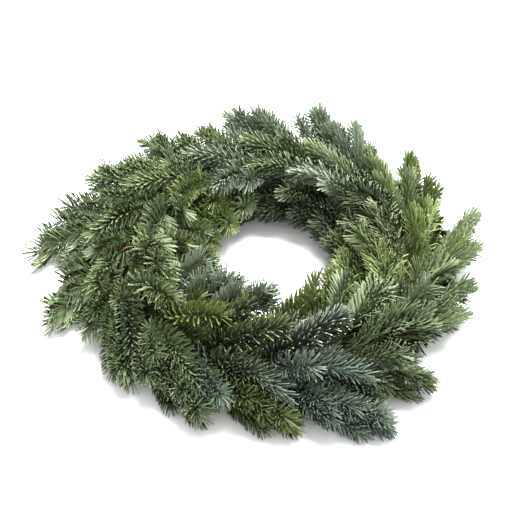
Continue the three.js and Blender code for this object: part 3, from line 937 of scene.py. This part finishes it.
@dataclass
class Spray:
    """One cut fir spray: a stem through its clamp, side twigs in a flat fan, and needles.

    Starts are shares of the stem's length. A spread is the lowest and the highest value of a
    random draw, and a scatter is the most that one adds or takes away. Tuples of four hold a
    value for each lane of a bunch, from the hole outwards.
    """

    node: str
    bunch: int
    lane: int
    number: int
    end: SprayTip
    ring: RingLayout
    growth: NeedleGrowth = NeedleGrowth()

    # The stem runs straight through its clamp, then rises in an arch to its end.
    butt_length: float = 12 * MM
    clamp_exit: float = 8 * MM
    rise_start: float = 0.42
    follow: float = 0.55
    arch: tuple[float, ...] = (12 * MM, 48 * MM, 50 * MM, 24 * MM)
    stem_radius: float = 2.3 * MM
    stem_tip_radius: float = 0.7 * MM
    bare_stem: float = 0.14
    stem_sides: int = 8
    stem_steps: int = 12

    # Side twigs get shorter towards the tip. Their reach is a share of the stem's length, and
    # differs on its inner and its outer side.
    twig_radius: float = 0.95 * MM
    twig_starts: tuple[float, ...] = (0.24, 0.38, 0.54)
    twig_angle: float = 34.0
    inner_reach: tuple[float, ...] = (0.55, 0.62, 0.66, 0.72)
    outer_reach: tuple[float, ...] = (0.60, 0.66, 0.56, 0.50)
    reach_end: float = 1.15
    reach_spread: tuple[float, float] = (0.8, 1.15)
    last_twig_size: float = 0.8

    # Twigs that run on below the stem fill the dark under the crown. Side 1 is the left.
    under_sides: tuple[tuple[int, ...], ...] = ((-1,), (1, -1), (1, -1), (-1,))
    under_start: float = 0.2
    under_end_spread: tuple[float, float] = (0.78, 0.92)
    under_height_spread: tuple[float, float] = (0.3, 0.5)
    under_bend: float = 0.35
    under_aside: float = 14 * MM

    # Short shoots near the tip make it blunt.
    sprig_starts: tuple[float, ...] = (0.84, 0.70, 0.56)
    sprig_scatter: float = 0.04
    sprig_length: float = 30 * MM
    sprig_spread: tuple[float, float] = (0.75, 1.2)
    sprig_fade: tuple[float, float] = (1.25, 0.8)
    sprig_angle: float = 46.0
    sprig_size: float = 0.75

    # Side twigs and shoots leave at a wide angle, curve forward and follow the foliage's round.
    angle_scatter: float = 8.0
    wrap: float = 0.22
    wrap_spread: tuple[float, float] = (-1.3, 0.1)
    opening: float = 1.15
    closing: float = 0.6
    look_ahead: float = 0.4
    droop: float = 0.18
    elbow: float = 0.45
    lowest_tip: float = 5 * MM

    # The sprays of the rim have more twigs and shoots, and their needles stand closer.
    rim_spacing: float = 0.78
    rim_sprigs: int = 2

    twigs: list[Twig] = field(default_factory=list)
    needle_count: int = 0
    rng: random.Random = field(init=False)
    on_rim: bool = field(init=False)

    def __post_init__(self) -> None:
        """Seed the spray's own random numbers and lay out its twigs."""
        self.rng = random.Random(FIRST_SEED + self.number)
        self.on_rim = self.lane == len(SPRAY_TIPS) - 1
        self.twigs.append(self._stem())
        rows = len(self.twig_starts) if self.on_rim else self.end.habit.value.twigs
        for row, share in enumerate(self.twig_starts[:rows]):
            near = 1 if (row + self.number) % 2 else -1
            for side in (near, -near) if self.on_rim else (near,):
                self.twigs.append(self._side_twig(share, side, row))
        for side in self.under_sides[self.lane]:
            self.twigs.append(self._under_twig(side))
        pairs = max(self.end.habit.value.sprigs, self.rim_sprigs if self.on_rim else 0)
        for share in self.sprig_starts[:pairs]:
            for side in (1, -1):
                scatter = self.rng.uniform(-self.sprig_scatter, self.sprig_scatter)
                self.twigs.append(self._sprig(share + scatter, side))

    def _stem(self) -> Twig:
        """The spray's own line: straight through the clamp, then bending up and out.

        Returns:
            The stem.
        """
        angle = FIRST_BUNCH_ANGLE + self.bunch * BUNCH_STEP
        offset = (self.lane - (len(SPRAY_TIPS) - 1) / 2) * STEM_SPACING
        along = self.ring.along(angle)
        middle = self.ring.point(angle, RING_RADIUS + offset, STEM_HEIGHT)
        leave = middle + along * self.clamp_exit
        target = self.ring.point(self.end.angle, self.end.radius * MM, self.end.height * MM)
        chord = target - leave
        heading = (along * self.follow + chord.normalized() * (1 - self.follow)).normalized()
        return Twig(
            root=leave,
            bend=leave + heading * chord.length * self.rise_start + UP * self.arch[self.lane],
            tip=target,
            radius=self.stem_radius,
            tip_radius=self.stem_tip_radius,
            bare=self.bare_stem,
            straight=middle - along * self.butt_length,
            sides=self.stem_sides,
            steps=self.stem_steps,
        )

    def _side_twig(self, share: float, side: int, row: int) -> Twig:
        """A side twig, as long as its lane and side leave room for.

        Args:
            share: Where it leaves the stem.
            side: 1 or -1, the side that it leaves to.
            row: Its number from the butt.

        Returns:
            The twig.
        """
        stem = self.twigs[0]
        root, ahead = stem.at(share)
        outer = (self.ring.outwards(root).cross(ahead) * side).dot(root - self.ring.centre) > 0
        reach = (self.outer_reach if outer else self.inner_reach)[self.lane]
        length = stem.length * reach * (self.reach_end - share) * self.rng.uniform(*self.reach_spread)
        size = lerp(1.0, self.last_twig_size, row / (len(self.twig_starts) - 1))
        return self._offshoot(share, side, length, self.twig_angle, size)

    def _under_twig(self, side: int) -> Twig:
        """A twig that runs on below its stem and fills the dark under the crown.

        Args:
            side: 1 or -1, the side that it keeps to.

        Returns:
            The twig.
        """
        stem = self.twigs[0]
        root, ahead = stem.at(self.under_start)
        above, onward = stem.at(self.rng.uniform(*self.under_end_spread))
        aside = UP.cross(onward).normalized() * side * self.under_aside
        height = above.z * self.rng.uniform(*self.under_height_spread)
        tip = Vector((above.x, above.y, height)) + aside
        bend = root + ahead * (tip - root).length * self.under_bend + aside
        return Twig(root, bend, tip, self.twig_radius)

    def _sprig(self, share: float, side: int) -> Twig:
        """A short shoot near the stem's end, which makes the end blunt.

        Args:
            share: Where it leaves the stem.
            side: 1 or -1, the side that it leaves to.

        Returns:
            The shoot.
        """
        length = self.sprig_length * self.rng.uniform(*self.sprig_spread)
        length *= lerp(*self.sprig_fade, share)
        return self._offshoot(share, side, length, self.sprig_angle, self.sprig_size)

    def _offshoot(self, share: float, side: int, length: float, angle: float, size: float) -> Twig:
        """A twig in the plane of the spray, curving forward and with the foliage's round.

        Args:
            share: Where it leaves the stem.
            side: 1 or -1, the side that it leaves to.
            length: Its length.
            angle: Its angle from the stem, in degrees.
            size: Its thickness, as a share of a side twig's.

        Returns:
            The twig.
        """
        stem = self.twigs[0]
        root, ahead = stem.at(share)
        sideways = self.ring.outwards(root).cross(ahead).normalized() * side
        over = ahead.cross(sideways) * side
        turn = math.radians(angle + self.rng.uniform(-self.angle_scatter, self.angle_scatter))
        wrap = over * (self.wrap * self.rng.uniform(*self.wrap_spread))
        wide, narrow = turn * self.opening, turn * self.closing
        start = (ahead * math.cos(wide) + sideways * math.sin(wide)).normalized()
        onward = stem.at(min(share + self.look_ahead, 1.0))[1] - UP * self.droop
        close = (onward * math.cos(narrow) + sideways * math.sin(narrow) + wrap).normalized()
        bend = root + start * length * self.elbow
        tip = bend + close * length * (1 - self.elbow)
        tip.z = max(tip.z, self.lowest_tip)
        return Twig(root, bend, tip, self.twig_radius * size)

    def _needles(self, twig: Twig) -> Iterator[tuple[Matrix, float]]:
        """Needles along one twig.

        Args:
            twig: The twig that carries them.

        Yields:
            Each needle's place and its own tint.
        """
        habit = self.end.habit.value
        grow = self.growth
        rng = self.rng
        spacing = habit.spacing * (self.rim_spacing if self.on_rim else 1.0)
        count = int(twig.length * (1 - twig.bare) / spacing)
        turn = rng.uniform(0.0, 360.0)
        for i in range(count):
            turn += GOLDEN_TURN
            share = lerp(twig.bare, 1.0, (i + 0.5) / count)
            root, ahead = twig.at(share)
            normal = self.ring.outwards(root)
            side = ahead.cross(normal).normalized()
            over = side.cross(ahead)
            signed = (turn + rng.gauss(0.0, grow.turn_deviation)) % 360.0 - 180.0
            round_twig = habit.reach * (abs(signed) / 180.0) ** grow.crowding
            round_twig = lerp(round_twig, grow.parted_angle, habit.parting)
            about = math.copysign(math.radians(round_twig), signed)
            out = over * math.cos(about) + side * math.sin(about)
            on_top = max(math.cos(about), 0.0)
            tipping = soft_step(share, grow.tipping_start, 1.0)
            lean = habit.lean * (1 - grow.top_lean * on_top)
            lean *= 1 - tipping * rng.uniform(*grow.tip_closing)
            lean = math.radians(lean) + rng.gauss(0.0, grow.lean_deviation)
            heading = ahead * math.cos(lean) + out * math.sin(lean)
            size = habit.length * rng.uniform(*grow.length_spread) * (1 - grow.tip_taper * tipping)
            grown = soft_step(share, twig.bare, twig.bare + grow.first_stretch)
            size *= lerp(grow.first_length, 1.0, grown)
            size *= 1 - grow.top_shortness * on_top
            size *= grow.stem_length if twig is self.twigs[0] else grow.twig_length
            place = self._stand(root, heading, ahead, out, normal, size, habit, lean)
            if place is not None:
                yield place, rng.random()

    def _stand(
        self,
        root: Vector,
        heading: Vector,
        ahead: Vector,
        out: Vector,
        normal: Vector,
        size: float,
        habit: NeedleHabit,
        lean: float,
    ) -> Matrix | None:
        """Turn a needle's flat face the way it grows, and keep its tip where it may be.

        Args:
            root: Where it leaves the twig.
            heading: Its direction.
            ahead: The twig's direction.
            out: The way out of the twig on its side.
            normal: The way out of the foliage.
            size: Its length.
            habit: How the needles stand.
            lean: Its angle from the twig.

        Returns:
            Its place, or None if it has no room.
        """
        lowest = (self.growth.floor_clearance - root.z) / size
        if heading.z < lowest:
            steep = min(lowest, self.growth.steepest)
            heading = Vector((heading.x, heading.y, steep)).normalized()
        if not self.ring.allows(root + heading * size):
            size *= self.growth.stunted
            if not self.ring.allows(root + heading * size):
                return None
        inner = ahead * math.sin(lean) - out * math.cos(lean)
        face = inner.lerp(normal, habit.flatness)
        face = (face - heading * face.dot(heading)).normalized()
        across = face.cross(heading)
        place = Matrix((across * size * habit.width, face * size, heading * size)).transposed()
        return Matrix.Translation(root) @ place.to_4x4()

    def build(
        self, stamps: Sequence[NeedleStamp], materials: Sequence[bpy.types.Material]
    ) -> bpy.types.Object:
        """Make the spray.

        Args:
            stamps: Needles with more and more bend.
            materials: Needles, bark and cut wood.

        Returns:
            The spray's object, which replaces its node.
        """
        work = bmesh.new()
        layer = work.verts.layers.float_vector.new("growth")
        work.faces.layers.float.new("underside")
        for twig in self.twigs:
            twig.add_bark(work, layer, self.rng)
        usual = self.end.habit.value.bend
        for twig in self.twigs:
            tint = self.rng.random()
            for place, chance in self._needles(twig):
                bend = usual + self.rng.choice(self.growth.bend_draw)
                stamp = stamps[min(max(bend, 0), len(stamps) - 1)]
                if (place @ Vector((0.0, stamp.bend, 1.0))).z < FLOOR_GAP:
                    stamp = stamps[0]
                stamp.press(work, place, chance, tint)
                self.needle_count += 1
        name = f"fir-{self.node}"
        mesh = mesh_from(work, name)
        for material in materials:
            mesh.materials.append(material)
        return add_piece(name, mesh, self.node, self.end.tone.value.slot)


# ---------------------------------------------------------------- the clamp ring


@dataclass
class ClampRing:
    """The wire hoop under the foliage, with a strip clamp closed round each bunch of stems."""

    ring: RingLayout
    wire: float = 4.2 * MM
    wire_sides: int = 12
    hoop_steps: int = 112
    room_width: float = 21.1 * MM
    room_height: float = 5.5 * MM
    strip: float = 1.4 * MM
    strip_width: float = 5 * MM
    floor: float = 4.4 * MM
    corner: float = 1.6 * MM
    corner_steps: int = 4
    sharp_angle: float = 40.0

    def _hoop(self, work: bmesh.types.BMesh) -> None:
        """Spin the round wire into a closed hoop.

        Args:
            work: The ring's mesh.
        """
        stand = Matrix.Translation((RING_RADIUS, 0.0, self.wire / 2)) @ Matrix.Rotation(
            math.pi / 2, 4, "X"
        )
        bmesh.ops.create_circle(work, segments=self.wire_sides, radius=self.wire / 2, matrix=stand)
        bmesh.ops.spin(
            work,
            geom=work.verts[:] + work.edges[:],
            cent=(0, 0, 0),
            axis=UP,
            angle=2 * math.pi,
            steps=self.hoop_steps,
            use_merge=True,
        )

    def _clamp(self, work: bmesh.types.BMesh, angle: float) -> None:
        """Bend one strip round its bunch.

        Args:
            work: The ring's mesh.
            angle: Where it stands, in degrees.
        """
        wide = self.room_width + 2 * self.strip
        high = self.room_height + 2 * self.strip
        cube = bmesh.ops.create_cube(work, size=1.0)["verts"]
        ends = [f for f in {f for v in cube for f in v.link_faces} if abs(f.normal.y) > 0.5]
        bmesh.ops.delete(work, geom=ends, context="FACES_ONLY")
        bmesh.ops.scale(work, vec=(wide, self.strip_width, high), verts=cube)
        corners = [
            e for e in {e for v in cube for e in v.link_edges}
            if abs((e.verts[0].co - e.verts[1].co).normalized().y) > 0.9
        ]
        bent = bmesh.ops.bevel(
            work, geom=corners, offset=self.corner, offset_type="OFFSET",
            segments=self.corner_steps, profile=0.5, affect="EDGES", material=-1,
            clamp_overlap=True,
        )
        verts = {v for v in cube if v.is_valid} | set(bent["verts"])
        walls = list({f for v in verts for f in v.link_faces})
        bmesh.ops.recalc_face_normals(work, faces=walls)
        inner = bmesh.ops.solidify(work, geom=walls, thickness=self.strip)["geom"]
        verts |= {g for g in inner if isinstance(g, bmesh.types.BMVert)}
        turn = Matrix.Rotation(math.radians(angle), 4, "Z")
        lift = Matrix.Translation((RING_RADIUS, 0.0, self.floor - self.strip + high / 2))
        bmesh.ops.transform(work, matrix=turn @ lift, verts=list(verts))

    def build(self, material: bpy.types.Material) -> bpy.types.Object:
        """Make the ring.

        Args:
            material: The wire's finish.

        Returns:
            The ring's object, which replaces its node.
        """
        work = bmesh.new()
        self._hoop(work)
        for bunch in range(BUNCH_COUNT):
            self._clamp(work, FIRST_BUNCH_ANGLE + bunch * BUNCH_STEP)
        bmesh.ops.recalc_face_normals(work, faces=work.faces[:])
        bmesh.ops.translate(work, vec=self.ring.centre, verts=work.verts[:])
        for face in work.faces:
            face.smooth = True
        mesh = mesh_from(work, "clamp-ring")
        mesh.set_sharp_from_angle(angle=math.radians(self.sharp_angle))
        mesh.materials.append(material)
        return add_piece("clamp-ring", mesh, "wreath-ring", "ring_wire")


# ---------------------------------------------------------------- the studio


@dataclass(frozen=True)
class Softbox:
    """One square soft light: where it hangs, its side and its power in watts."""

    name: str
    place: tuple[float, float, float]
    size: float
    power: float


@dataclass
class Studio:
    """A white floor, soft lights and the camera at the photograph's angle."""

    ring: RingLayout
    floor_size: float = 9.0
    elevation: float = 42.0
    distance: float = 1.2
    aim_height: float = 42 * MM
    lens: float = 75.85
    sensor_width: float = 36.0
    view_depth: float = 50.0
    aim_right: float = -6.0 * MM
    aim_up: float = -8.7 * MM
    world_light: float = 1.22
    softboxes: tuple[Softbox, ...] = (
        Softbox("top-softbox", (0.35, 0.6, 1.8), 1.3, 166.0),
        Softbox("front-softbox", (0.7, -1.6, 1.4), 1.0, 5.0),
    )

    def _floor(self) -> None:
        """Lay the floor that the wreath rests on."""
        work = bmesh.new()
        bmesh.ops.create_grid(work, x_segments=8, y_segments=8, size=self.floor_size / 2)
        mesh = mesh_from(work, "studio-floor")
        mesh.materials.append(FloorFinish().material())
        add_object("studio-floor", mesh)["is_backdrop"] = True

    def _hang(self, softbox: Softbox) -> None:
        """Hang one soft light, aimed at the wreath.

        Args:
            softbox: The light.
        """
        light = bpy.data.lights.new(softbox.name, "AREA")
        light.size = softbox.size
        light.energy = softbox.power
        lamp = add_object(softbox.name, light)
        lamp.location = softbox.place
        lamp.rotation_euler = (self.ring.centre - lamp.location).to_track_quat("-Z", "Y").to_euler()

    def _camera(self) -> None:
        """Set up the camera as it stood for the photograph."""
        rise = math.radians(self.elevation)
        middle = self.ring.centre + UP * self.aim_height
        place = middle + Vector((0.0, -math.cos(rise), math.sin(rise))) * self.distance
        up = Vector((0.0, math.sin(rise), math.cos(rise)))
        aim = middle + Vector((1.0, 0.0, 0.0)) * self.aim_right + up * self.aim_up
        data = bpy.data.cameras.new("studio-camera")
        data.lens = self.lens
        data.sensor_width = self.sensor_width
        data.clip_end = self.view_depth
        camera = add_object("studio-camera", data)
        camera.location = place
        camera.rotation_euler = (aim - place).to_track_quat("-Z", "Y").to_euler()
        bpy.context.scene.camera = camera

    def build(self) -> None:
        """Set up floor, light and camera."""
        scene = bpy.context.scene
        scene.view_settings.view_transform = "Standard"
        world = bpy.data.worlds.new("white-studio")
        world.use_nodes = True
        background = world.node_tree.nodes["Background"]
        background.inputs["Color"].default_value = (1.0, 1.0, 1.0, 1.0)
        background.inputs["Strength"].default_value = self.world_light
        scene.world = world
        self._floor()
        for softbox in self.softboxes:
            self._hang(softbox)
        self._camera()


# ---------------------------------------------------------------- the wreath


@dataclass
class Wreath:
    """All sprays on their clamp ring."""

    ring: RingLayout
    needle_bends: tuple[float, ...] = (0.02, 0.10, 0.20, 0.30)
    sprays: list[Spray] = field(default_factory=list)

    def __post_init__(self) -> None:
        """Lay out the sprays, lane by lane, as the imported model's nodes are named."""
        for lane, (name, tips) in enumerate(SPRAY_TIPS.items()):
            for bunch, tip in enumerate(tips):
                node = f"spray-{bunch + 1:02d}-{name}"
                number = len(self.sprays)
                self.sprays.append(Spray(node, bunch, lane, number, SprayTip(*tip), self.ring))

    def build(self) -> None:
        """Make every piece and report it."""
        barks = {bark: bark.value.material() for bark in Bark}
        wood = CutWoodFinish().material()
        needles = {tone: tone.value.material() for tone in Tone}
        stamps = [NeedleStamp(bend) for bend in self.needle_bends]
        total = 0
        for spray in self.sprays:
            bark = barks[spray.end.habit.value.bark]
            piece = spray.build(stamps, (needles[spray.end.tone], bark, wood))
            triangles = sum(len(face.vertices) - 2 for face in piece.data.polygons)
            total += triangles
            LOG.info("%s: %d needles, %d triangles", piece.name, spray.needle_count, triangles)
        hoop = ClampRing(self.ring).build(WireFinish().material())
        LOG.info("%s: %d faces", hoop.name, len(hoop.data.polygons))
        LOG.info("all sprays: %d triangles", total)


def ring_centre() -> Vector:
    """The middle of the ring's node, at the height of the surface."""
    low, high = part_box("wreath-ring")
    return Vector(((low.x + high.x) / 2, (low.y + high.y) / 2, 0.0))


def write_sizes() -> None:
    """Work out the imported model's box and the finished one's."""
    boxes = {"cad": CAD_BOX, "visual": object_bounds()}
    {k: [[float(x) for x in corner] for corner in box] for k, box in boxes.items()}


def main() -> None:
    """Build the studio and the wreath, and report the pieces."""
    logging.basicConfig(level=logging.INFO, format="%(name)s: %(message)s")
    ring = RingLayout(ring_centre())
    Studio(ring).build()
    Wreath(ring).build()
    write_sizes()


if __name__ == "__main__":
    main()
